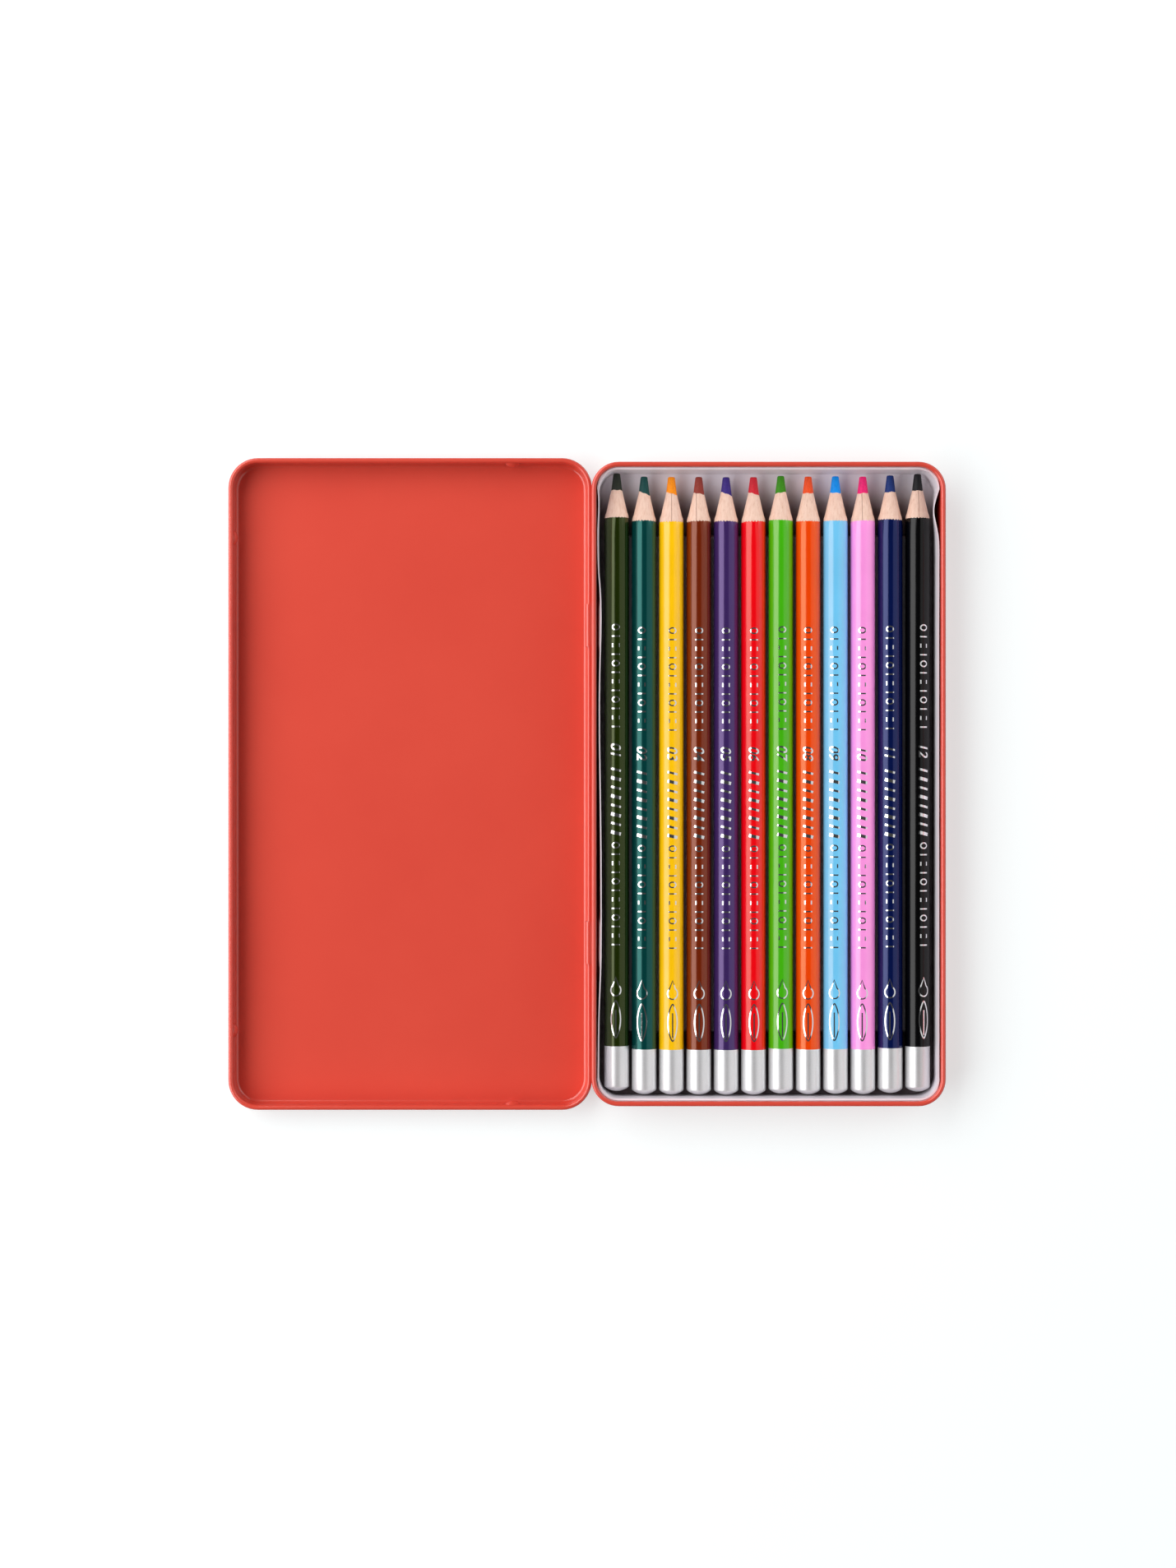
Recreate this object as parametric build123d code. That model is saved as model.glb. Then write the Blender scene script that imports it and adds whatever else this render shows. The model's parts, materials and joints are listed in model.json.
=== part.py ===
from build123d import *
import os
from math import asin, degrees

os.makedirs("parts", exist_ok=True)

# A flat hinged tin of twelve round pencils, lying open: the lid on the left, the base on the right.
# X runs from the lid to the base, Y towards the pencil points, Z up. The origin is under the middle.

# Sheet metal of both halves of the tin
sheet = 0.3
bead_width = 1.4
bend_radius = 1.0
curl_turn = 280

# The pencils
pencil_count = 12
pencil_gap = 0.74
pencil_length = 174.8
pencil_radius = 3.5
lacquer_thickness = 0.12
lead_radius = 1.55
lead_tip_radius = 0.95
lead_tip_round = 0.3
lead_length = 4.8
point_length = 13.2
cap_length = 12.9
butt_dome = 1.3
butt_round = 0.7
pencil_clearance = 0.15
# How far each pencil lies towards the points from the middle of the tray
pencil_shifts = [0.5, -0.4, -0.5, -0.5, -0.55, -0.55, -0.2, -0.4, -0.3, -0.4, -0.05, 0.35]

# Room round the row of pencils, inside the tray and under the lid
side_room = 1.63
end_room = 1.05
head_room = 4.1

# The tin
base_corner = 7.7
lid_corner = 8.4
lid_gap_above = 0.2
front_clearance = 0.25
back_clearance = 0.12
side_clearance = 0.2
open_overlap = 0.12

# The hinge: two tongues of the base wall, each hooked round the lid's rolled rim
hinge_spacing = 89.6
tongue_width = 12.0
tongue_sheet = 0.25
tongue_fit = 0.06
tongue_wrap = 235
window_margin = 0.7
lid_window_depth = 1.5
base_slot_height = 4.2

# Round dimples in the lid wall, which click under the rolled rim of the base
dimple_radius = 2.1
dimple_depth = 1.05
dimple_gap = 0.1
front_dimple_from_end = 22.4
end_dimple_from_hinge = 21.6

# The formed plastic tray
tray_sheet = 0.35
tray_gap_below = 0.1
tray_gap_around = 0.3
tray_rim_below_tin = 1.8
tray_draft = 0.3
tray_floor_corner = 5.7
cradle_from_end = 17.8
cradle_slope = 1.2
ridge_below_axis = 1.6
# Where the rim of the soft tray bows inwards: the share of half its straight side, and how far in
left_bows = [(0.94, 0.25), (0.88, 0.02), (0.78, 0.0), (0.72, 0.2), (0.67, 0.52), (0.4, 0.5), (-0.1, 0.68),
             (-0.5, 0.85), (-0.62, 0.74), (-0.7, 0.5), (-0.785, 0.25), (-0.92, 0.1)]
right_bows = [(0.97, 0.8), (0.93, 1.45), (0.888, 0.95), (0.845, 0.25), (0.77, 0.0), (0.6, 0.05), (0.0, 0.06),
              (-0.5, 0.05), (-0.8, 0.0)]

# Worked out from the above
bead_radius = bead_width / 2
pencil_pitch = 2 * pencil_radius + pencil_gap
row_width = pencil_pitch * (pencil_count - 1) + 2 * pencil_radius
wall_allowance = tray_sheet + tray_gap_around + bead_width
base_width = row_width + 2 * (side_room + wall_allowance)
base_length = pencil_length + 2 * (end_room + wall_allowance)
tray_floor_z = sheet + tray_gap_below
pencil_z = tray_floor_z + tray_sheet + pencil_clearance + pencil_radius
base_height = pencil_z + pencil_radius + head_room
tray_rim_z = base_height - tray_rim_below_tin
closed_height = base_height + lid_gap_above + sheet
lid_width = base_width + front_clearance + back_clearance + 2 * bead_width
lid_length = base_length + 2 * side_clearance + 2 * bead_width
lid_height = closed_height / 2 + bead_radius
open_width = lid_width + base_width - open_overlap
base_x = open_width / 2 - base_width / 2
lid_x = lid_width / 2 - open_width / 2
base_edge = base_x - base_width / 2
hinge_play = (open_overlap + back_clearance) / 2
hinge_x = base_edge - bead_radius + (open_overlap - back_clearance) / 2
hinge_z = closed_height / 2
hook_inside = bead_radius + hinge_play + tongue_fit
hook_outside = hook_inside + tongue_sheet
first_pencil_x = base_x - pencil_pitch * (pencil_count - 1) / 2
tray_half_length = base_length / 2 - bead_width - tray_gap_around


def wall_section(height, corner):
    """Half of a pressed sheet wall: the bend from the floor, the wall, and the rim rolled outwards."""
    inside = corner - bead_width
    curl_x = inside + bead_radius
    curl_z = height - bead_radius
    bend_x = inside - bend_radius
    bend_z = sheet + bend_radius
    inner_roll = CenterArc((curl_x, curl_z), bead_radius - sheet, 180, -curl_turn)
    outer_roll = CenterArc((curl_x, curl_z), bead_radius, 180 - curl_turn, curl_turn)
    outer_bend = CenterArc((bend_x, bend_z), bend_radius + sheet, -90, 90)
    inner_bend = CenterArc((bend_x, bend_z), bend_radius, 0, -90)
    outline = [
        outer_bend,
        Line(outer_bend @ 1, inner_roll @ 0),
        inner_roll,
        Line(inner_roll @ 1, outer_roll @ 0),
        outer_roll,
        Line(outer_roll @ 1, inner_bend @ 0),
        inner_bend,
        Line(inner_bend @ 1, outer_bend @ 0),
    ]
    return Plane.XZ * make_face(outline)


def tin_half(width, length, height, corner):
    """A shallow pressed pan with a rolled rim, centred on the origin and standing on Z 0."""
    section = wall_section(height, corner)
    reach_x = width / 2 - corner
    reach_y = length / 2 - corner
    side = extrude(section, amount=reach_y, dir=(0, -1, 0))
    turn = revolve(section, Axis.Z, 90)
    end = extrude(Rot(0, 0, 90) * section, amount=reach_x, dir=(-1, 0, 0))
    quarter = Pos(reach_x, reach_y) * (side + turn + end)
    half = quarter + mirror(quarter, Plane.YZ)
    flat_inset = bead_width + bend_radius
    flat = RectangleRounded(width - 2 * flat_inset, length - 2 * flat_inset, corner - flat_inset)
    return half + mirror(half, Plane.XZ) + extrude(flat, sheet)


def hinge_places():
    """Where the middle of each hinge lies along Y."""
    return [-hinge_spacing / 2, hinge_spacing / 2]


def dimple(x, y, turn):
    """What a dimple adds to a wall whose inside faces the turned -X, and the hollow behind it."""
    ball = (dimple_radius**2 + dimple_depth**2) / (2 * dimple_depth)
    centre_z = closed_height - (base_height - bead_width - dimple_gap - dimple_radius)
    place = Pos(x, y, centre_z) * Rot(0, 0, turn) * Pos(ball - dimple_depth, 0, 0)
    inside = Pos(-dimple_radius * 2 + dimple_depth - ball, 0, 0) * Box(*[dimple_radius * 4] * 3)
    behind = Pos(-dimple_radius * 2 + dimple_depth - ball + sheet, 0, 0) * Box(*[dimple_radius * 4] * 3)
    return place * (Sphere(ball) & inside), place * (Sphere(ball - sheet) & behind)


def lid_shell():
    lid = Pos(lid_x, 0) * tin_half(lid_width, lid_length, lid_height, lid_corner)
    wall_x = lid_x + lid_width / 2 - bead_width
    window = Box(4 * sheet, tongue_width + 2 * window_margin, lid_window_depth,
                 align=(Align.CENTER, Align.CENTER, Align.MAX))
    for y in hinge_places():
        lid -= Pos(wall_x + sheet / 2, y, lid_height - bead_radius) * window
    front_x = lid_x - lid_width / 2 + bead_width
    end_x = hinge_x - end_dimple_from_hinge
    end_y = lid_length / 2 - bead_width
    front_y = lid_length / 2 - front_dimple_from_end
    spots = [(front_x, side * front_y, 180) for side in (-1, 1)]
    spots += [(end_x, side * end_y, side * 90) for side in (-1, 1)]
    for spot in spots:
        bump, hollow = dimple(*spot)
        lid = lid + bump - hollow
    return lid


def hinge_tongue(y):
    """A hook cut from the base wall, bent out under the lid's rolled rim and round it."""
    middle = (hook_inside + hook_outside) / 2
    wall_x = base_edge + bead_width - hinge_x
    path = [Line((wall_x, -middle), (0, -middle)), CenterArc((0, 0), middle, -90, -tongue_wrap)]
    strip = trace(path, line_width=tongue_sheet)
    hook = extrude(Plane.XZ * strip, amount=tongue_width / 2, both=True)
    return Pos(hinge_x, y, hinge_z) * hook


def base_shell():
    base = Pos(base_x, 0) * tin_half(base_width, base_length, base_height, base_corner)
    wall_x = base_edge + bead_width - sheet / 2
    slot_z = hinge_z - hook_inside
    slot = Box(4 * sheet, tongue_width, base_slot_height, align=(Align.CENTER, Align.CENTER, Align.MIN))
    for y in hinge_places():
        base -= Pos(wall_x, y, slot_z) * slot
        base += hinge_tongue(y)
    return base


def tray_outline(inset, corner, bow_share, z):
    """The outline of the tray at one height: straight ends, round corners and bowed long sides."""
    half_x = base_width / 2 - bead_width - tray_gap_around - inset
    half_y = tray_half_length - inset
    straight_x = half_x - corner
    straight_y = half_y - corner
    sides = []
    for side, bows in ((1, right_bows), (-1, left_bows)):
        points = [(side * half_x, straight_y)]
        points += [(side * (half_x - bow * bow_share), place * straight_y) for place, bow in bows]
        points += [(side * half_x, -straight_y)]
        sides.append(Spline(*points))
    ends = [Line((-straight_x, side * half_y), (straight_x, side * half_y)) for side in (-1, 1)]
    turns = [CenterArc((sx * straight_x, sy * straight_y), corner, start, 90)
             for sx, sy, start in ((1, 1, 0), (-1, 1, 90), (-1, -1, 180), (1, -1, 270))]
    return Pos(base_x, 0, z) * make_face(sides + ends + turns)


def tray_block(inset, floor_z, top_z):
    """A solid that fills the tray's outline, narrower at its floor than at its rim."""
    rim_corner = base_corner - bead_width - tray_gap_around - inset
    floor = tray_outline(inset + tray_draft, tray_floor_corner, 0, floor_z)
    rim = tray_outline(inset, rim_corner, 1, top_z)
    return loft([floor, rim], ruled=True)


def cradle_ridge(x, sheet_below):
    """The ridge between two pencils, or the hollow under it when sheet_below is the sheet's thickness."""
    half_length = tray_half_length - cradle_from_end - sheet_below
    top_z = pencil_z - ridge_below_axis - sheet_below
    bottom_z = tray_floor_z
    side_view = Polyline(
        (-half_length, bottom_z), (half_length, bottom_z),
        (half_length - cradle_slope, top_z), (-half_length + cradle_slope, top_z), close=True,
    )
    bar = Pos(x, 0, 0) * extrude(Plane.YZ * make_face(side_view), amount=pencil_pitch / 2, both=True)
    groove = Rot(90, 0, 0) * Cylinder(pencil_radius + pencil_clearance + sheet_below, pencil_length)
    for side in (-1, 1):
        bar -= Pos(x + side * pencil_pitch / 2, 0, pencil_z) * groove
    return bar


def tray():
    pan = tray_block(0, tray_floor_z, tray_rim_z)
    pan -= tray_block(tray_sheet, tray_floor_z + tray_sheet, tray_rim_z)
    for gap in range(pencil_count - 1):
        x = first_pencil_x + pencil_pitch * (gap + 0.5)
        pan = pan + cradle_ridge(x, 0) - cradle_ridge(x, tray_sheet)
    return pan


def turned(*profile):
    """A solid turned about Y from a profile of (radius, y) points."""
    return revolve(make_face(Polyline(*profile, close=True)), Axis.Y)


def cone_y(radius):
    """Where the sharpened wood has a given radius."""
    taper = (point_length - lead_length) / (pencil_radius - lead_radius)
    return pencil_length / 2 - point_length + taper * (pencil_radius - radius)


def bar(under_skin, *profile):
    """A round bar turned about Y: a domed blunt end, deeper by the skin over it, then (radius, y) points."""
    ball = (pencil_radius**2 + butt_dome**2) / (2 * butt_dome)
    radius = profile[0][0]
    reach = ball - under_skin
    dome = CenterArc((0, ball - pencil_length / 2), reach, -90, degrees(asin(radius / reach)))
    sides = Polyline(dome @ 1, *profile, (0, profile[-1][1]), dome @ 0)
    return revolve(make_face([dome, sides]), Axis.Y)


def round_butt(solid, radius):
    """Round the outer edge of a pencil's blunt end."""
    edge = solid.edges().filter_by(lambda edge: edge.is_closed).sort_by(Axis.Y)[0]
    return fillet(edge, radius)


def pencil_pieces():
    """The four pieces of a pencil lying along Y with its middle at the origin, by name."""
    bare = pencil_radius - lacquer_thickness
    cap_y = cap_length - pencil_length / 2
    lead_y = cone_y(lead_radius)
    tip = pencil_length / 2
    wood = bar(lacquer_thickness, (bare, cone_y(bare)), (lead_radius, lead_y))
    wood = round_butt(wood, butt_round - lacquer_thickness)
    lead = bar(lacquer_thickness, (lead_radius, lead_y), (lead_tip_radius, tip))
    tip_edge = lead.edges().filter_by(GeomType.CIRCLE).sort_by(Axis.Y)[-1]
    lacquer = turned((bare, cap_y), (pencil_radius, cap_y), (pencil_radius, cone_y(pencil_radius)),
                     (bare, cone_y(bare)))
    cap = round_butt(bar(0, (pencil_radius, cap_y)), butt_round)
    return {
        "casing": wood - lead,
        "lead": fillet(tip_edge, lead_tip_round),
        "lacquer": lacquer,
        "end_cap": cap - wood,
    }


def save(name, solid):
    export_step(solid, f"parts/{name}.step")


save("lid_shell", lid_shell())
save("base_shell", base_shell())
save("tray", tray())
pieces = pencil_pieces()
for number, shift in enumerate(pencil_shifts):
    place = Pos(first_pencil_x + pencil_pitch * number, shift, pencil_z)
    for piece, solid in pieces.items():
        save(f"pencil_{number + 1:02d}_{piece}", place * solid)
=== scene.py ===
"""The looks of a flat hinged tin with twelve round pencils, lying open and seen from straight above."""

import json
import math
import random

import bmesh
import bpy
from mathutils import Matrix, Vector

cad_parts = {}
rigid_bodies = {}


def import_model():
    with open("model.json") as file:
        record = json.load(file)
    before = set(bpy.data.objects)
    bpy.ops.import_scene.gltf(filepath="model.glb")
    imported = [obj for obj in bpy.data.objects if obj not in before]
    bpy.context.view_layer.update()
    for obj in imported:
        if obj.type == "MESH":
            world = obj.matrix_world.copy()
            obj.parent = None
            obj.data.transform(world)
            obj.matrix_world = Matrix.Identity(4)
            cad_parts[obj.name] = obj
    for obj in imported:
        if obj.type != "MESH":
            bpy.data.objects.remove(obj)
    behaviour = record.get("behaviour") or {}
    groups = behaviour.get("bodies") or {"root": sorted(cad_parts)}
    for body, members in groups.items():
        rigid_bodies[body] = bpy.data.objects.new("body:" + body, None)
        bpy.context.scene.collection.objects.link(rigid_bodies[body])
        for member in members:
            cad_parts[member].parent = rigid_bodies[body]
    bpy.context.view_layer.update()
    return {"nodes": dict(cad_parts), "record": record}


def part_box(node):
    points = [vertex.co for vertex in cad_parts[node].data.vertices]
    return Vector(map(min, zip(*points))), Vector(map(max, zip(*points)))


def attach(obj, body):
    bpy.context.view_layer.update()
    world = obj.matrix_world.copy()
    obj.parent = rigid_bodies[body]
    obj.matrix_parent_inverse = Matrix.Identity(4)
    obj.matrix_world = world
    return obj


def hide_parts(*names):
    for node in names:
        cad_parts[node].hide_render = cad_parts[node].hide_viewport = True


MM = 0.001

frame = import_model()
nodes = frame["nodes"]

# Camera, straight above the middle of the photograph
CAMERA_HEIGHT = 800 * MM
CAMERA_X = 0.57 * MM
LENS = 64.5
SENSOR = 36.0

# Lamps: name, heading in degrees (0 is to the right, 90 to the points), the two angles from the vertical
# between which it stands, length in metres, radiance
LAMP_DISTANCE = 1.3
LAMPS = [
    ("left_softbox", 166, (23, 72), 2.6, 3.1),
    ("right_softbox", 0, (24, 86), 2.2, 0.62),
    ("corner_softbox", 45, (54, 74), 1.1, 1.1),
]
# A card low on the right, which lights the pencils and the tray alone and shows in no gloss
CARD = ("pencil_card", 0, (54, 78), 1.6, 3.3)
# What the dim room itself adds
ROOM_RADIANCE = 0.05

# The white table: the colour that it takes from the light, the share of white that it shows without any, and
# the two distances from the middle in metres over which that share grows to the whole
TABLE_COLOUR = (0.53, 0.575, 0.578, 1)
TABLE_LIFT = 0.55
TABLE_FADE = (0.38, 0.95)

# Pencils, in order. Colours are sRGB bytes; shine is the lacquer's specular level and tint colours its
# highlight; drop is how far the lead's edge falls to the right in mm, and print how far the foil is turned
# in degrees.
LOOKS = ("paint", "lead", "shine", "tint", "drop", "print")
PENCILS = [dict(zip(LOOKS, row)) for row in [
    ((25, 38, 1), (42, 48, 40), 0.62, (0.88, 1, 0.55), 0.1, -5),
    ((1, 55, 54), (22, 74, 72), 0.82, (0.32, 1, 0.9), 1.3, -12),
    ((254, 196, 4), (255, 148, 14), 0.7, (1, 1, 0.9), 0.9, 4),
    ((110, 32, 3), (148, 58, 48), 1.0, (1, 0.57, 0.44), 0.5, 0),
    ((57, 35, 91), (60, 42, 128), 1.0, (0.72, 0.52, 1), 1.2, -3),
    ((238, 0, 15), (208, 36, 52), 0.62, (1, 0.95, 0.85), 0.9, 0),
    ((65, 180, 10), (58, 142, 16), 0.95, (1, 0.85, 0.65), -0.5, 4),
    ((237, 66, 0), (240, 82, 34), 0.8, (1, 0.95, 0.5), 0.0, -4),
    ((114, 202, 246), (0, 144, 238), 0.9, (1, 0.72, 0.5), 0.1, -10),
    ((255, 152, 227), (242, 36, 118), 0.85, (1, 1, 0.9), -0.2, -8),
    ((1, 15, 68), (24, 52, 118), 0.85, (0.47, 0.52, 1), -0.2, -7),
    ((3, 3, 4), (30, 30, 34), 0.34, (1, 1, 1), 0.0, 24),
]]
# Where the glue line of the casing lies across the point, in mm, on the pencils that show it
SEAMS = {3: 0.0, 4: -0.8, 10: -0.4, 12: 0.1}


def linear(red, green, blue):
    """A colour written as sRGB bytes, as the shader wants it."""
    def channel(value):
        value /= 255
        return value / 12.92 if value <= 0.04045 else ((value + 0.055) / 1.055) ** 2.4
    return (channel(red), channel(green), channel(blue), 1)


class Shader:
    """One material and a short way to add and link its nodes."""

    def __init__(self, name):
        self.material = bpy.data.materials.new(name)
        self.material.use_nodes = True
        self.tree = self.material.node_tree
        self.surface = self.tree.nodes["Principled BSDF"]

    def add(self, kind, inputs=None, **settings):
        """Add a node, set it up, and give its inputs values or links."""
        node = self.tree.nodes.new(kind)
        for name, value in settings.items():
            setattr(node, name, value)
        self.feed(node, inputs or {})
        return node

    def feed(self, node, inputs):
        for name, value in inputs.items():
            if isinstance(value, bpy.types.NodeSocket):
                self.tree.links.new(value, node.inputs[name])
            else:
                node.inputs[name].default_value = value

    def finish(self, **inputs):
        """Set the inputs of the shader itself, by name with underscores for spaces."""
        self.feed(self.surface, {name.replace("_", " "): value for name, value in inputs.items()})
        return self.material

    def place(self, scale=(1, 1, 1)):
        """The point on the object at rest, stretched by a scale."""
        coordinates = self.add("ShaderNodeTexCoord")
        mapping = self.add("ShaderNodeMapping", {"Vector": coordinates.outputs["Object"], "Scale": scale})
        return mapping.outputs["Vector"]

    def noise(self, scale, detail=3.0, stretch=(1, 1, 1), roughness=0.55):
        """Noise with a scale in features a metre."""
        inputs = {"Vector": self.place(stretch), "Scale": scale, "Detail": detail, "Roughness": roughness}
        return self.add("ShaderNodeTexNoise", inputs).outputs["Fac"]

    def ramp(self, value, *stops):
        """Colours or greys against a value, as (position, colour) stops."""
        node = self.add("ShaderNodeValToRGB", {"Fac": value})
        elements = node.color_ramp.elements
        while len(elements) < len(stops):
            elements.new(0.5)
        for element, (position, colour) in zip(elements, stops):
            element.position = position
            element.color = colour if isinstance(colour, tuple) else (colour, colour, colour, 1)
        return node.outputs["Color"]

    def mix(self, factor, first, second):
        """Mix two colours, each a colour or a socket."""
        node = self.add("ShaderNodeMix", data_type="RGBA")
        for socket, value in ((node.inputs[0], factor), (node.inputs[6], first), (node.inputs[7], second)):
            if isinstance(value, bpy.types.NodeSocket):
                self.tree.links.new(value, socket)
            else:
                socket.default_value = value
        return node.outputs[2]

    def between(self, value, low, high, start=0.0, end=1.0, smooth=False):
        """Where a value stands between two levels, as a number from start to end."""
        inputs = {"Value": value, "From Min": low, "From Max": high, "To Min": start, "To Max": end}
        kind = "SMOOTHSTEP" if smooth else "LINEAR"
        return self.add("ShaderNodeMapRange", inputs, interpolation_type=kind).outputs[0]

    def work(self, operation, *values, clamp=False):
        """A sum, product or the like of one or two values."""
        node = self.add("ShaderNodeMath", dict(enumerate(values)), operation=operation, use_clamp=clamp)
        return node.outputs[0]

    def bump(self, height, strength, distance):
        inputs = {"Height": height, "Strength": strength, "Distance": distance}
        return self.add("ShaderNodeBump", inputs).outputs["Normal"]


def tin_paint():
    """Coral enamel baked on sheet steel: even satin under a bright gloss with a faint orange peel."""
    shader = Shader("tin_paint")
    cloud = shader.noise(25, 3)
    colour = shader.ramp(cloud, (0.3, linear(230, 78, 62)), (0.7, linear(234, 82, 65)))
    satin = shader.ramp(shader.noise(400, 4), (0.3, 0.3), (0.8, 0.38))
    peel = shader.bump(shader.noise(700, 2), 0.05, 0.1 * MM)
    return shader.finish(Base_Color=colour, Roughness=satin, Specular_IOR_Level=0.1, Coat_Weight=1.0,
                         Coat_Roughness=0.16, Coat_IOR=1.65, Normal=peel)


def tray_film():
    """Thin formed film, pale with a cool lilac tinge, with shade painted dark low on its floor and inner
    walls between the barrels.
    """
    shader = Shader("tray_film")
    pale = shader.ramp(shader.noise(60, 4), (0.3, linear(240, 233, 240)), (0.7, linear(247, 241, 248)))
    place = shader.add("ShaderNodeSeparateXYZ", {0: shader.place()}).outputs
    normal = shader.add("ShaderNodeTexCoord").outputs["Normal"]
    facing = shader.add("ShaderNodeSeparateXYZ", {0: normal}).outputs
    # Painted shade: darker low in the tray, where the barrels shade it. It is patchy at random, fades out
    # towards the points, and stays off faces that look down.
    painted_shade = shader.between(place["Z"], 0.4 * MM, 3.5 * MM, 1, 0, smooth=True)
    patches = shader.between(shader.noise(180, 4), 0, 1, 0.8, 1.1)
    off_the_points = shader.between(place["Y"], 76.5 * MM, 87.5 * MM, 1, 0, smooth=True)
    inner_faces = shader.between(facing["Z"], -0.01, 0.02)
    for share in (patches, off_the_points, inner_faces):
        painted_shade = shader.work("MULTIPLY", painted_shade, share, clamp=True)
    colour = shader.mix(painted_shade, pale, linear(74, 52, 54))
    dents = shader.bump(shader.noise(300, 3), 0.15, 0.2 * MM)
    return shader.finish(Base_Color=colour, Roughness=0.3, Normal=dents)


def cut_wood():
    """Sharpened cedar: long pale fibres, short dark pores, and a glue line where the mesh says so."""
    shader = Shader("cut_wood")
    fibres = shader.noise(1700, 5, (1, 0.03, 1), 0.6)
    colour = shader.ramp(fibres, (0.25, linear(219, 176, 154)), (0.5, linear(231, 196, 177)),
                         (0.8, linear(239, 209, 192)))
    pores = shader.ramp(shader.noise(3800, 2, (1, 0.035, 1)), (0.6, 0.0), (0.78, 0.6))
    colour = shader.mix(pores, colour, linear(190, 136, 112))
    seam = shader.add("ShaderNodeAttribute", attribute_name="seam").outputs["Fac"]
    wander = shader.between(shader.noise(500, 3, (1, 0.5, 1)), 0, 1, -0.15 * MM, 0.15 * MM)
    away = shader.work("ABSOLUTE", shader.work("ADD", seam, wander))
    line = shader.between(away, 0.04 * MM, 0.13 * MM, 0.75, 0)
    colour = shader.mix(line, colour, linear(132, 78, 66))
    return shader.finish(Base_Color=colour, Roughness=0.6, Normal=shader.bump(fibres, 0.2, 0.12 * MM))


def shade(colour, factor):
    """A colour made darker, or lighter with a factor over 1."""
    return tuple(min(1, factor * value) for value in colour[:3]) + (1,)


def pigment(name, colour):
    """Waxy pressed pigment with a fine grain."""
    shader = Shader(name)
    grain = shader.noise(3600, 4, (1, 0.4, 1), 0.7)
    tone = shader.ramp(grain, (0.3, shade(colour, 0.8)), (0.55, colour), (0.8, shade(colour, 1.25)))
    return shader.finish(Base_Color=tone, Roughness=0.55, Specular_IOR_Level=0.25,
                         Normal=shader.bump(grain, 0.25, 0.1 * MM))


def lacquer(name, colour, shine, tint):
    """Several dipped coats of bright gloss over the barrel, hardly uneven."""
    shader = Shader(name)
    swell = shader.noise(220, 2, (1, 0.15, 1))
    gloss = shader.ramp(shader.noise(500, 4, (1, 0.3, 1)), (0.3, 0.15), (0.8, 0.2))
    tone = shader.ramp(shader.noise(90, 3), (0.3, shade(colour, 0.91)), (0.7, shade(colour, 0.97)))
    return shader.finish(Base_Color=tone, Roughness=gloss, Specular_IOR_Level=shine,
                         Specular_Tint=tint + (1,), Normal=shader.bump(swell, 0.1, 0.3 * MM))


def silver_dip():
    """Silver lacquer: fine metal flakes in a soft gloss, with faint runs along the barrel."""
    shader = Shader("silver_dip")
    flakes = shader.noise(6000, 2)
    colour = shader.ramp(flakes, (0.35, (0.72, 0.72, 0.73, 1)), (0.65, (0.79, 0.79, 0.8, 1)))
    runs = shader.noise(700, 2, (1, 0.12, 1))
    rough = shader.ramp(shader.noise(400, 3, (1, 0.2, 1)), (0.3, 0.36), (0.8, 0.43))
    return shader.finish(Base_Color=colour, Metallic=0.6, Roughness=rough,
                         Normal=shader.bump(runs, 0.08, 0.2 * MM))


def foil():
    """Hot-pressed silver foil, a mirror that follows the barrel."""
    shader = Shader("foil")
    wear = shader.ramp(shader.noise(2500, 3), (0.4, 0.09), (0.8, 0.18))
    return shader.finish(Base_Color=(0.93, 0.93, 0.94, 1), Metallic=1.0, Roughness=wear)


def dress(thing, material):
    """Give a CAD node or a piece its one material."""
    thing.data.materials.clear()
    thing.data.materials.append(material)


def new_piece(name, build, material, body, slot, *replaced, sharp=30):
    """Make an object of a bmesh, smooth it, and hand it to the body it rides on."""
    mesh = bpy.data.meshes.new(name)
    build.to_mesh(mesh)
    build.free()
    mesh.shade_smooth()
    mesh.set_sharp_from_angle(angle=math.radians(sharp))
    piece = bpy.data.objects.new(name, mesh)
    bpy.context.scene.collection.objects.link(piece)
    dress(piece, material)
    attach(piece, body)
    if replaced:
        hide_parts(*replaced)
    return piece


# Pieces of a pencil, turned about its own axis
ROUND_STEPS = 168
CONE_STEPS = 24
LEAD_STEPS = 10
# The sharpener's cuts: how many, how far the paint's teeth stand out, how deep the flutes in the wood are,
# and the share of the cone in which the uneven foot settles to a cone
TEETH = 24
TOOTH_HEIGHT = 0.3 * MM
FLUTE_DEPTH = 0.035 * MM
CONE_FOOT = 0.2
LEAD_TIP_RADIUS = 0.95 * MM
LEAD_TIP_ROUND = 0.3 * MM
LEAD_TIP_FLAT = 0.3 * MM
LEAD_TIP_WEAR = 0.01 * MM
# Under the dipped end: how far in the wood and the lead stop, and the bevel of the wood
WOOD_INSET = 0.6 * MM
LEAD_INSET = 0.3 * MM
BUTT_SLOPE = 1.5 * MM
# The slack of one layer in another, and how far wood and lead reach past their edge out of sight
SLACK = 0.02 * MM
WOOD_OVERLAP = 1.5 * MM
LEAD_OVERLAP = 1.2 * MM


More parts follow.
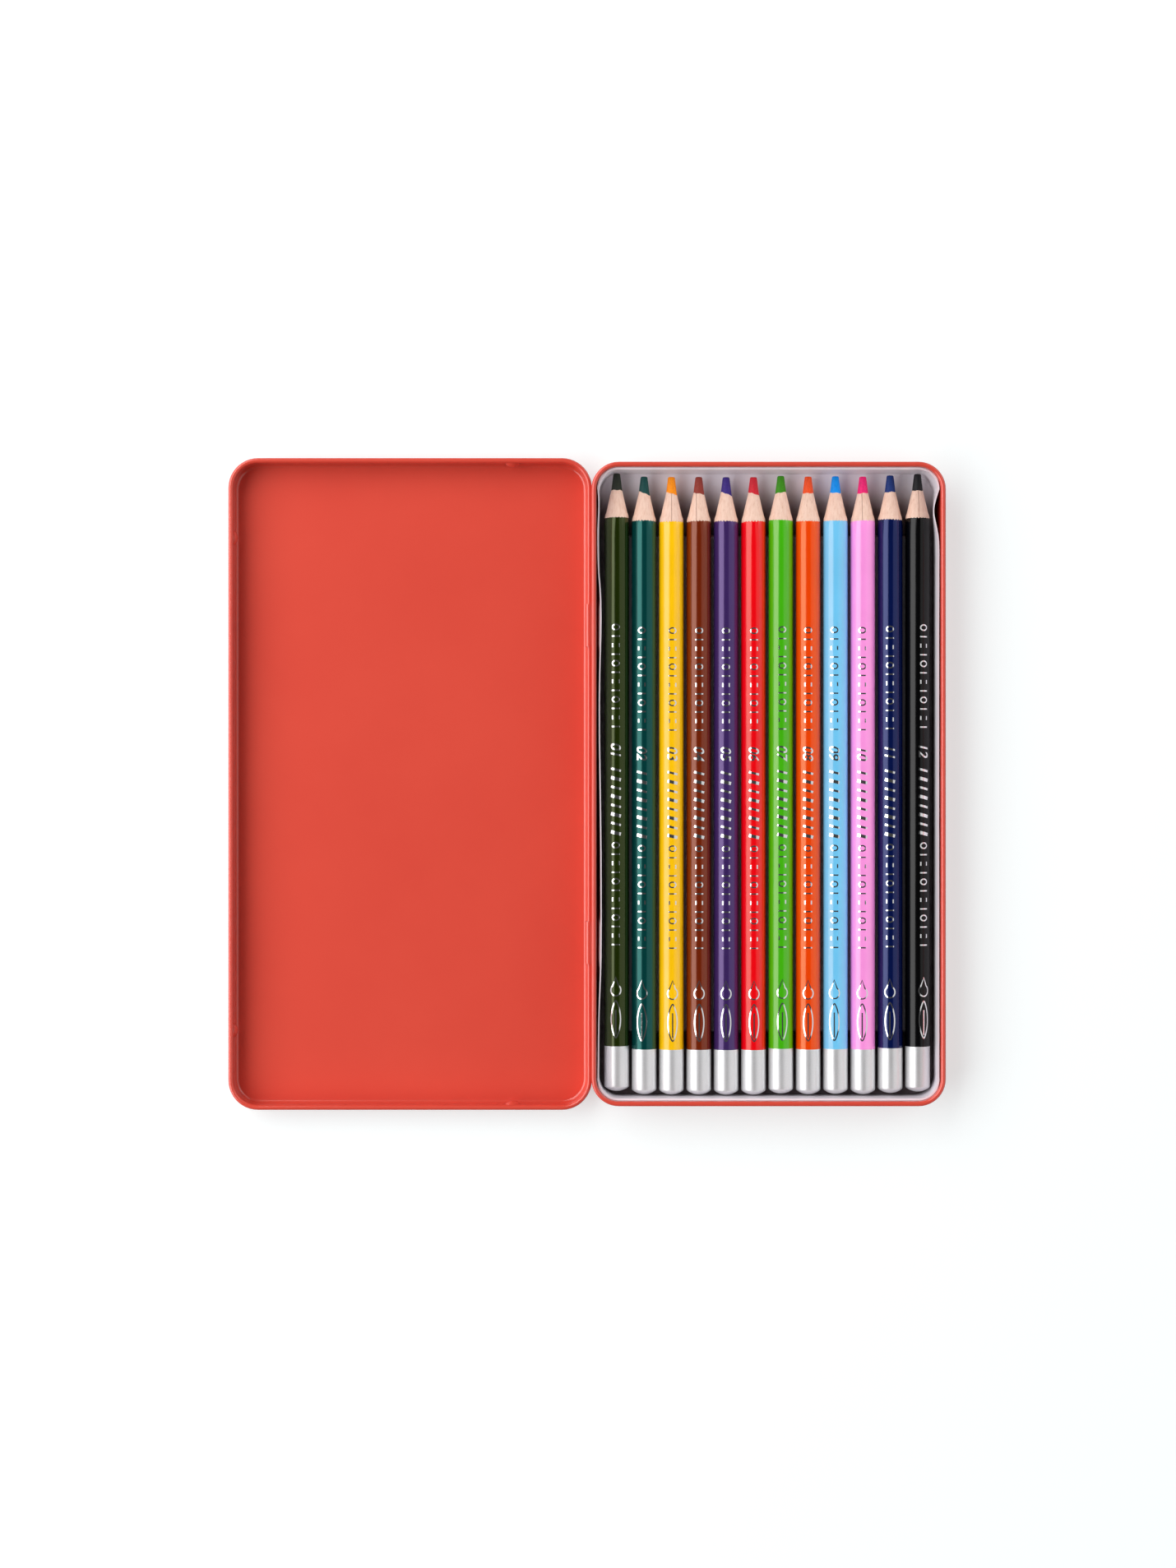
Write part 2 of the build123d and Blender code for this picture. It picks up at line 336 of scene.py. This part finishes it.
class Pencil:
    """The sizes of one pencil, read from its solids, and the uneven edges that sharpening left on it."""

    def __init__(self, number, look):
        self.number = number
        self.look = look
        self.name = f"pencil_{number:02d}"
        low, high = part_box(self.name + "_lacquer")
        lead_low, lead_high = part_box(self.name + "_lead")
        cap_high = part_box(self.name + "_end_cap")[1]
        casing_low, casing_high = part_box(self.name + "_casing")
        self.x = (low.x + high.x) / 2
        self.z = (low.z + high.z) / 2
        self.radius = (high.x - low.x) / 2
        self.bare = (casing_high.x - casing_low.x) / 2
        self.lead_radius = (lead_high.x - lead_low.x) / 2
        self.butt_y = lead_low.y
        self.cap_y = cap_high.y
        self.cone_y = high.y
        self.lead_y = casing_high.y
        self.tip_y = lead_high.y
        draw = random.Random(number * 7)
        self.phases = [draw.uniform(0, 2 * math.pi) for _ in range(6)]
        self.teeth = draw.uniform(0.5, 1.2)
        self.taper = (self.lead_y - self.cone_y) / (self.bare - self.lead_radius)

    def cone_radius(self, y):
        """The radius of the sharpened cone at y, wood first and lead after."""
        if y < self.lead_y:
            return self.lead_radius + (self.lead_y - y) / self.taper
        share = (y - self.lead_y) / (self.tip_y - self.lead_y)
        return self.lead_radius + (LEAD_TIP_RADIUS - self.lead_radius) * share

    def tooth(self, angle):
        """How far the paint's edge stands out at an angle: small scallops, uneven in height."""
        scallop = 0.5 - abs(math.sin(angle * TEETH / 2 + self.phases[0]))
        uneven = 1 + 0.45 * math.sin(5 * angle + self.phases[1]) + 0.3 * math.sin(9 * angle + self.phases[2])
        slow = 0.1 * MM * math.sin(angle + self.phases[3])
        return TOOTH_HEIGHT * self.teeth * scallop * uneven + slow

    def paint_edge(self, angle):
        return self.cone_y - (self.radius - self.bare) * self.taper + self.tooth(angle)

    def lead_edge(self, angle):
        """Where the wood ends on the lead: tilted where the lead is off centre, and slightly torn."""
        tilt = -self.look["drop"] / 2 * MM * math.cos(angle)
        torn = 0.08 * math.sin(5 * angle + self.phases[4]) + 0.03 * math.sin(17 * angle + self.phases[5])
        return self.lead_y + tilt + torn * MM

    def turned(self, profile):
        """A bmesh turned from rings, each a function of the angle that gives (radius, y), and its rings.

        An angle of 0 points to +X and 90 degrees up."""
        build = bmesh.new()
        rings = []
        for ring in profile:
            points = []
            for step in range(ROUND_STEPS):
                angle = 2 * math.pi * step / ROUND_STEPS
                radius, y = ring(angle)
                place = Vector((self.x + radius * math.cos(angle), y, self.z + radius * math.sin(angle)))
                points.append(build.verts.new(place))
            rings.append(points)
        for near, far in zip(rings, rings[1:]):
            for step in range(ROUND_STEPS):
                after = (step + 1) % ROUND_STEPS
                build.faces.new((near[step], near[after], far[after], far[step]))
        return build, rings

    def closed(self, profile):
        """Turned, with flat faces over the first and the last ring."""
        build, rings = self.turned(profile)
        build.faces.new(list(reversed(rings[0])))
        build.faces.new(rings[-1])
        bmesh.ops.recalc_face_normals(build, faces=build.faces)
        return build

    def looped(self, profile):
        """Turned, with the last ring joined to the first."""
        build, rings = self.turned(profile)
        for step in range(ROUND_STEPS):
            after = (step + 1) % ROUND_STEPS
            build.faces.new((rings[-1][step], rings[-1][after], rings[0][after], rings[0][step]))
        bmesh.ops.recalc_face_normals(build, faces=build.faces)
        return build


def paint_piece(pencil):
    """The coat of lacquer, from the dipped end to its scalloped edge."""
    outer = pencil.radius
    back = pencil.cap_y
    edge_slope = (outer - pencil.bare) * pencil.taper
    profile = [lambda angle: (pencil.bare, back)]
    for share in (0, 0.25, 0.5, 0.75, 0.9, 0.97):
        profile.append(lambda angle, share=share: (outer, back + (pencil.paint_edge(angle) - back) * share))
    profile.append(lambda angle: (outer - SLACK, pencil.paint_edge(angle)))
    profile.append(lambda angle: (pencil.bare, pencil.paint_edge(angle) + edge_slope))
    return pencil.looped(profile)


def wood_piece(pencil):
    """The casing: a fluted cone from the paint's edge to the lead's, and the barrel hidden behind it."""
    edge_slope = (pencil.radius - pencil.bare) * pencil.taper
    back = pencil.butt_y + WOOD_INSET

    def cone(share):
        def ring(angle):
            start = pencil.paint_edge(angle) + edge_slope
            y = start + (pencil.lead_edge(angle) - start) * share
            radius = pencil.cone_radius(y)
            settled = share / CONE_FOOT
            if settled < 1:
                return pencil.bare * (1 - settled) + radius * settled, y
            flute = FLUTE_DEPTH * (1 - share) * abs(math.sin(angle * TEETH / 2 + pencil.phases[0]))
            return radius - flute, y
        return ring

    profile = [lambda angle: (pencil.lead_radius, back)]
    profile.append(lambda angle: (pencil.bare - BUTT_SLOPE, back))
    profile.append(lambda angle: (pencil.bare, back + BUTT_SLOPE))
    profile += [cone(step / CONE_STEPS) for step in range(CONE_STEPS + 1)]
    profile.append(lambda angle: (pencil.lead_radius, pencil.lead_edge(angle) - WOOD_OVERLAP))
    return pencil.looped(profile)


def lead_piece(pencil):
    """The lead: a blunt cone that goes on from the wood's, on a core that runs through the casing."""
    inside = pencil.lead_radius - SLACK

    def cone(share):
        def ring(angle):
            start = pencil.lead_edge(angle)
            y = start + (pencil.tip_y - LEAD_TIP_ROUND - start) * share
            return pencil.cone_radius(y), y
        return ring

    def rounding(turn):
        def ring(angle):
            radius = LEAD_TIP_RADIUS - LEAD_TIP_ROUND * (1 - math.cos(turn))
            return radius, pencil.tip_y - LEAD_TIP_ROUND * (1 - math.sin(turn))
        return ring

    profile = [lambda angle: (inside, pencil.butt_y + LEAD_INSET)]
    profile.append(lambda angle: (inside, pencil.lead_edge(angle) - LEAD_OVERLAP))
    profile += [cone(step / LEAD_STEPS) for step in range(LEAD_STEPS + 1)]
    profile += [rounding(math.radians(turn)) for turn in (25, 50, 75, 90)]
    profile.append(lambda angle: (LEAD_TIP_FLAT, pencil.tip_y + LEAD_TIP_WEAR * math.sin(3 * angle)))
    return pencil.closed(profile)


def mark_seam(piece, pencil):
    """Store how far each point lies from the casing's glue line, for the wood's material."""
    mesh = piece.data
    seam = mesh.attributes.new("seam", "FLOAT", "POINT")
    place = SEAMS.get(pencil.number)
    for vertex in mesh.vertices:
        seam.data[vertex.index].value = 1.0 if place is None else vertex.co.x - pencil.x - place * MM


# Foil marks, laid out flat as (along the barrel, around it) in mm and then wrapped on the barrel. Each group
# starts at a place counted from the middle of the pencil, towards its point, and runs down to the butt.
THIN_AT = (43.7, -17.8)
NUMBER_AT = 11.2
BOLD_AT = 3.5
DROP_AT = -55.0
THIN_COUNT = 12
BOLD_COUNT = 8
MARK_PITCH = 2.55
THIN_STROKE = 0.37
THIN_HEIGHT = 2.3
RING_STEPS = 20
RING_STRETCH = 0.8
DASH_HALF = 0.55
DASH_LEVEL = 0.8 * THIN_HEIGHT / 2
FINE_STROKE = 0.36
BOLD_STROKE = 0.68
BOLD_HEIGHT = 2.9
BOLD_LEAN = 0.35
DIGIT_SIZE = BOLD_HEIGHT / 0.7
# The drop: its round's distance from its point, the round's half sizes, and the angles that it spans. The
# leaf: how far below the drop's point it starts, its length and half width, and where its vein runs.
DROP_ROUND = 3.7
DROP_HALVES = (1.6, 1.45)
DROP_ANGLES = range(32, 329, 12)
LEAF_START, LEAF_LENGTH, LEAF_HALF = 6.6, 10.6, 1.35
LEAF_STEPS = 24
LEAF_VEIN = (9.2, 16.2)
FOIL_LIFT = 0.008 * MM
WRAP_STEP = 0.3


def stroke(build, points, width, closed=False):
    """A flat ribbon of one width along points, mitred at the corners."""
    count = len(points)
    sides = []
    for index, point in enumerate(points):
        before = points[index - 1] if index or closed else point
        after = points[(index + 1) % count] if index < count - 1 or closed else point
        along = Vector((after[0] - before[0], after[1] - before[1])).normalized()
        across = Vector((-along.y, along.x)) * width / 2
        sides.append([build.verts.new((point[0] + sign * across.x, point[1] + sign * across.y, 0))
                      for sign in (-1, 1)])
    pairs = list(zip(sides, sides[1:] + sides[:1])) if closed else list(zip(sides, sides[1:]))
    for (a, b), (c, d) in pairs:
        build.faces.new((a, c, d, b))


def ring_points(along, radius):
    """Points on a ring about a place on the barrel, drawn a little narrower along it."""
    angles = [2 * math.pi * step / RING_STEPS for step in range(RING_STEPS)]
    return [(along + radius * RING_STRETCH * math.cos(angle), radius * math.sin(angle)) for angle in angles]


def thin_marks(build, start):
    """A row of rings, bars and short pairs of dashes, one to a pitch."""
    half = THIN_HEIGHT / 2
    for index in range(THIN_COUNT):
        at = start - MARK_PITCH * index
        kind = index % 4
        if kind == 0:
            stroke(build, ring_points(at, half - THIN_STROKE / 2), THIN_STROKE, closed=True)
        elif kind == 2:
            for level in (-DASH_LEVEL, DASH_LEVEL):
                stroke(build, [(at - DASH_HALF, level), (at + DASH_HALF, level)], THIN_STROKE)
        else:
            stroke(build, [(at, -half), (at, half)], THIN_STROKE)


def bold_marks(build, start):
    """A row of leaning bold bars, narrow and wide by turns."""
    half = BOLD_HEIGHT / 2
    for index in range(BOLD_COUNT):
        at = start - MARK_PITCH * index
        width = BOLD_STROKE * (1.35 if index % 2 else 0.9)
        stroke(build, [(at + BOLD_LEAN, -half), (at - BOLD_LEAN, half)], width)


def drop_marks(build, start):
    """The outline of a water drop over the outline of a long leaf."""
    drop = [(start, 0)]
    for angle in map(math.radians, DROP_ANGLES):
        drop.append((start - DROP_ROUND + DROP_HALVES[0] * math.cos(angle), DROP_HALVES[1] * math.sin(angle)))
    stroke(build, drop, FINE_STROKE, closed=True)
    for side in (-1, 1):
        edge = []
        for step in range(LEAF_STEPS + 1):
            share = step / LEAF_STEPS
            across = side * LEAF_HALF * math.sin(math.pi * share) ** 0.7
            edge.append((start - LEAF_START - LEAF_LENGTH * share, across))
        stroke(build, edge, FINE_STROKE)
    stroke(build, [(start - along, 0) for along in LEAF_VEIN], FINE_STROKE)


def number_marks(build, text, at):
    """A plain number in the same foil, read from the point down."""
    curve = bpy.data.curves.new("number", "FONT")
    curve.body = text
    curve.size = DIGIT_SIZE
    curve.offset = 0.05
    curve.shear = 0.2
    writer = bpy.data.objects.new("number", curve)
    flat = bpy.data.meshes.new_from_object(writer)
    flat.transform(Matrix.Translation((at, -BOLD_HEIGHT / 2, 0)) @ Matrix.Diagonal((-1, 1, 1, 1)))
    build.from_mesh(flat)
    bpy.data.objects.remove(writer)
    bpy.data.curves.remove(curve)
    bpy.data.meshes.remove(flat)


def wrap(build, pencil):
    """Cut the flat marks into narrow strips and bend them round the barrel."""
    reach = BOLD_HEIGHT
    for cut in range(int(2 * reach / WRAP_STEP) + 1):
        level = -reach + WRAP_STEP * cut
        everything = build.verts[:] + build.edges[:] + build.faces[:]
        bmesh.ops.bisect_plane(build, geom=everything, plane_co=(0, level, 0), plane_no=(0, 1, 0))
    middle_y = (pencil.tip_y + pencil.butt_y) / 2
    top = math.radians(90 - pencil.look["print"])
    radius = pencil.radius + FOIL_LIFT
    for vertex in build.verts:
        along, around, _ = vertex.co
        angle = top - around * MM / pencil.radius
        across, up = radius * math.cos(angle), radius * math.sin(angle)
        vertex.co = (pencil.x + across, middle_y + along * MM, pencil.z + up)


def foil_piece(pencil, material):
    """The number and the ornament pressed on one pencil."""
    build = bmesh.new()
    thin_marks(build, THIN_AT[0])
    number_marks(build, f"{pencil.number:02d}", NUMBER_AT)
    bold_marks(build, BOLD_AT)
    thin_marks(build, THIN_AT[1])
    drop_marks(build, DROP_AT)
    wrap(build, pencil)
    bmesh.ops.recalc_face_normals(build, faces=build.faces)
    inward = []
    for face in build.faces:
        centre = face.calc_center_median()
        if face.normal.dot(Vector((centre.x - pencil.x, 0, centre.z - pencil.z))) < 0:
            inward.append(face)
    bmesh.ops.reverse_faces(build, faces=inward)
    return new_piece(pencil.name + "_foil", build, material, pencil.name, "silver_dip", sharp=60)


def make_pencils():
    wood, dip, mirror = cut_wood(), silver_dip(), foil()
    slots = {node["node"]: node["material_slot"] for node in frame["record"]["subparts"]}
    for number, look in enumerate(PENCILS, 1):
        pencil = Pencil(number, look)
        paint = lacquer(pencil.name + "_paint", linear(*look["paint"]), look["shine"], look["tint"])
        lead = pigment(pencil.name + "_pigment", linear(*look["lead"]))
        node = pencil.name + "_lacquer"
        new_piece(pencil.name + "_coat", paint_piece(pencil), paint, pencil.name, slots[node], node)
        node = pencil.name + "_casing"
        casing = new_piece(pencil.name + "_wood", wood_piece(pencil), wood, pencil.name, slots[node], node)
        mark_seam(casing, pencil)
        node = pencil.name + "_lead"
        new_piece(pencil.name + "_core", lead_piece(pencil), lead, pencil.name, slots[node], node)
        foil_piece(pencil, mirror)
        dress(nodes[pencil.name + "_end_cap"], dip)


def make_camera():
    data = bpy.data.cameras.new("camera")
    data.lens = LENS
    data.sensor_width = SENSOR
    data.clip_end = 20
    camera = bpy.data.objects.new("camera", data)
    camera.location = (CAMERA_X, 0, CAMERA_HEIGHT)
    bpy.context.scene.collection.objects.link(camera)
    bpy.context.scene.camera = camera


def softbox(name, heading, angles, length, radiance):
    """A flat lamp that spans two angles from the vertical, towards a heading."""
    middle = math.radians(sum(angles) / 2)
    spread = math.radians(angles[1] - angles[0]) / 2
    data = bpy.data.lights.new(name, "AREA")
    data.shape = "RECTANGLE"
    data.size = 2 * LAMP_DISTANCE * math.tan(spread)
    data.size_y = length
    data.energy = radiance * math.pi * data.size * data.size_y
    lamp = bpy.data.objects.new(name, data)
    lean = Matrix.Rotation(middle, 4, "Y")
    turn = Matrix.Rotation(math.radians(heading), 4, "Z")
    lamp.matrix_world = turn @ lean @ Matrix.Translation((0, 0, LAMP_DISTANCE))
    bpy.context.scene.collection.objects.link(lamp)
    return lamp


def light_flanks():
    """Add the card, which lights the pencils and the tray alone."""
    lit = bpy.data.collections.new("pencils_and_tray")
    for thing in bpy.context.scene.objects:
        if thing.type == "MESH" and thing.name.startswith(("pencil_", "tray")):
            lit.objects.link(thing)
    card = softbox(*CARD)
    card.visible_glossy = False
    card.light_linking.receiver_collection = lit


def make_room():
    """A dim room that is pale to the camera, so that the table's horizon doesn't show."""
    world = bpy.data.worlds.new("room")
    world.use_nodes = True
    tree = world.node_tree
    background = tree.nodes["Background"]
    background.inputs["Color"].default_value = (1, 1, 1, 1)
    path = tree.nodes.new("ShaderNodeLightPath")
    strength = tree.nodes.new("ShaderNodeMapRange")
    strength.inputs["To Min"].default_value = ROOM_RADIANCE
    strength.inputs["To Max"].default_value = 1.0
    tree.links.new(path.outputs["Is Camera Ray"], strength.inputs["Value"])
    tree.links.new(strength.outputs[0], background.inputs["Strength"])
    bpy.context.scene.world = world


def make_floor():
    """A wide white table that keeps the shadows."""
    build = bmesh.new()
    bmesh.ops.create_grid(build, x_segments=1, y_segments=1, size=6)
    mesh = bpy.data.meshes.new("table")
    build.to_mesh(mesh)
    build.free()
    table = bpy.data.objects.new("table", mesh)
    bpy.context.scene.collection.objects.link(table)
    shader = Shader("table_white")
    tree = shader.tree
    output = next(node for node in tree.nodes if node.type == "OUTPUT_MATERIAL")
    path = shader.add("ShaderNodeLightPath").outputs
    seen = shader.work("MAXIMUM", path["Is Camera Ray"], path["Is Glossy Ray"])
    reach = shader.add("ShaderNodeVectorMath", {0: shader.place()}, operation="LENGTH").outputs["Value"]
    far = shader.between(reach, *TABLE_FADE, smooth=True)
    lift = shader.work("MULTIPLY", seen, shader.between(far, 0, 1, TABLE_LIFT, 1))
    matt = shader.add("ShaderNodeBsdfDiffuse", {"Color": shader.mix(far, TABLE_COLOUR, (0, 0, 0, 1))})
    glow = shader.add("ShaderNodeEmission", {"Strength": lift})
    both = shader.add("ShaderNodeAddShader", {0: matt.outputs[0], 1: glow.outputs[0]})
    tree.links.new(both.outputs[0], output.inputs["Surface"])
    tree.nodes.remove(shader.surface)
    dress(table, shader.material)


# The tray's film curls out to the tin along both ends and their corners. The section is given in points, each
# with a distance outwards in mm, a share of the width and a height in mm, both counted from the tray's edge.
LIP_WIDTH = 0.24 * MM
LIP_CORNER = 6.0 * MM
LIP_SECTION = [(-0.15, 0, -0.1), (-0.1, 0, 0.015), (0, 0.5, 0.03),
               (0, 1, -0.02), (0, 1, -0.12), (-0.15, 0, -0.2)]
LIP_STEP = 3
LIP_TAPER = 30


def lip_piece(name, side, film):
    """The curled edge at one end of the tray, narrowed to nothing where the long sides begin."""
    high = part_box("tray")[1]
    middle_x = (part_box("pencil_01_lacquer")[0].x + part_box("pencil_12_lacquer")[1].x) / 2
    corner_x, corner_y = high.x - middle_x - LIP_CORNER, high.y - LIP_CORNER
    turns = [(degrees, 1) for degrees in range(0, 91, LIP_STEP)]
    turns += [(degrees, -1) for degrees in range(90, 181, LIP_STEP)]
    build = bmesh.new()
    sections = []
    for degrees, right in turns:
        angle = math.radians(degrees)
        out = Vector((math.cos(angle), side * math.sin(angle), 0))
        edge = Vector((middle_x + right * corner_x, side * corner_y, high.z)) + out * LIP_CORNER
        width = LIP_WIDTH * min(1, degrees / LIP_TAPER, (180 - degrees) / LIP_TAPER)
        section = []
        for along, share, up in LIP_SECTION:
            place = edge + out * (along * MM + share * width)
            section.append(build.verts.new(place + Vector((0, 0, up * MM))))
        sections.append(section)
    for near, far in zip(sections, sections[1:]):
        for index in range(len(LIP_SECTION)):
            after = (index + 1) % len(LIP_SECTION)
            build.faces.new((near[index], near[after], far[after], far[index]))
    build.faces.new(sections[0])
    build.faces.new(list(reversed(sections[-1])))
    bmesh.ops.recalc_face_normals(build, faces=build.faces)
    return new_piece(name, build, film, "tray", "tray_plastic", sharp=60)


def dress_tin():
    paint, film = tin_paint(), tray_film()
    for name in ("lid_shell", "base_shell"):
        dress(nodes[name], paint)
    dress(nodes["tray"], film)
    lip_piece("tray_lip_points", 1, film)
    lip_piece("tray_lip_butts", -1, film)


make_camera()
for lamp in LAMPS:
    softbox(*lamp)
make_room()
make_floor()
dress_tin()
make_pencils()
light_flanks()

bpy.context.scene.view_settings.view_transform = "Standard"
